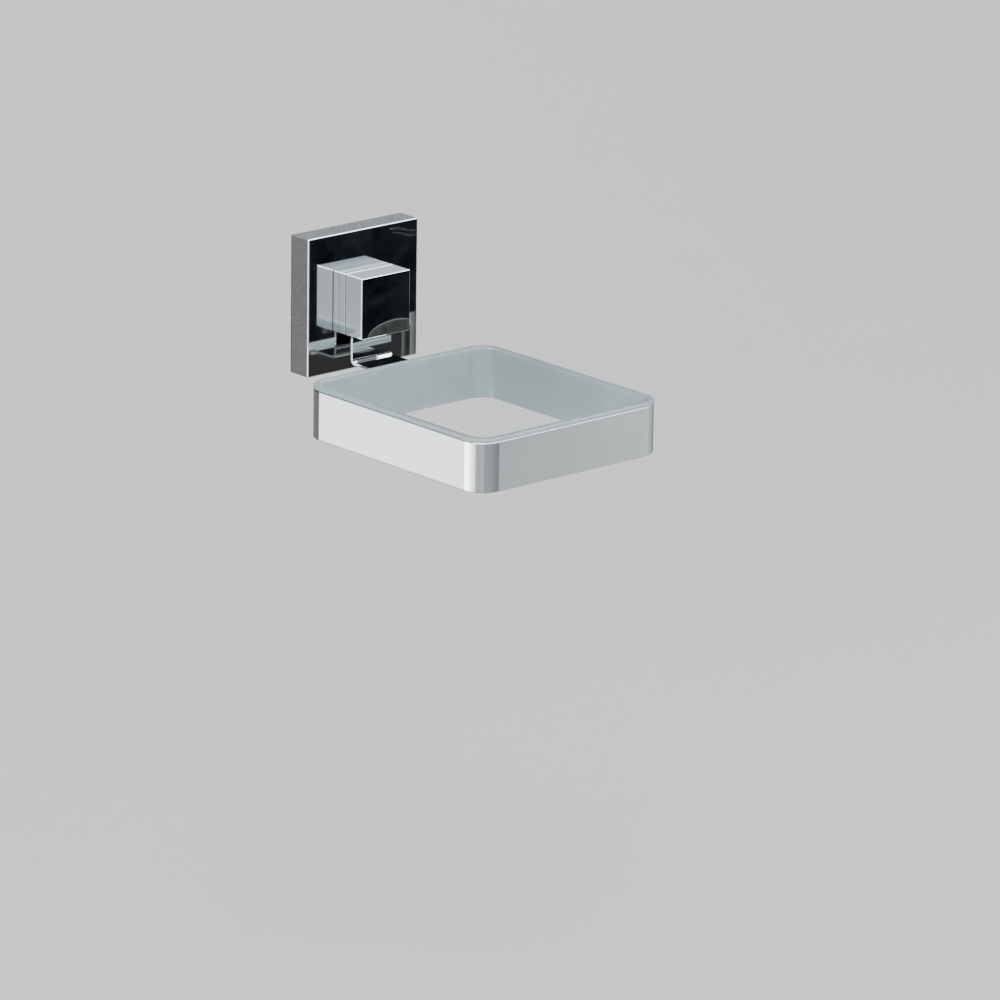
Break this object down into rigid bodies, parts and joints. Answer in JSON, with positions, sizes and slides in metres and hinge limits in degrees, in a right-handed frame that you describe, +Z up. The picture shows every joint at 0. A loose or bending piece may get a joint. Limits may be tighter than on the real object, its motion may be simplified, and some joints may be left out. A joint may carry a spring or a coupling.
{
  "type": "hair dryer holder",
  "caption": "Wall-mounted hair dryer holder: square chrome rosette and boss, bent flat strap, and a rectangular chrome band with a frosted drop-in liner.",
  "frame": {"origin": "on the wall plane at the centre of the rosette and wall plate", "axes": "+Y into the wall, -Y out into the room towards the band, +X to the right seen from the room, +Z up"},
  "size_m": [0.114, 0.1644, 0.0865],
  "materials": {
    "chrome": "mirror polished plating",
    "steel": "zinc plated steel",
    "foam": "closed-cell foam",
    "frosted_plastic": "translucent frosted moulding"
  },
  "bodies": {
    "holder": {"wall_plate": "steel", "rosette_gasket": "foam", "rosette": "chrome", "base_block": "chrome", "cap_block": "chrome", "bracket_strap": "chrome", "band": "chrome", "braze_fillet": "chrome", "centre_bolt": "steel", "lock_washer": "steel", "plain_washer": "steel", "locating_pins": "steel"},
    "liner": {"liner": "frosted_plastic"},
    "grub_screw": {"grub_screw": "steel"}
  },
  "joints": [
    {"name": "liner_lift", "type": "slide", "parent": "holder", "child": "liner", "axis": [0, 0, 1], "range_m": [0, 0.03]},
    {"name": "grub_screw_turn", "type": "hinge", "parent": "holder", "child": "grub_screw", "pos_m": [0, -0.007, -0.031], "axis": [0, 0, -1], "range_deg": [0, 720]}
  ]
}
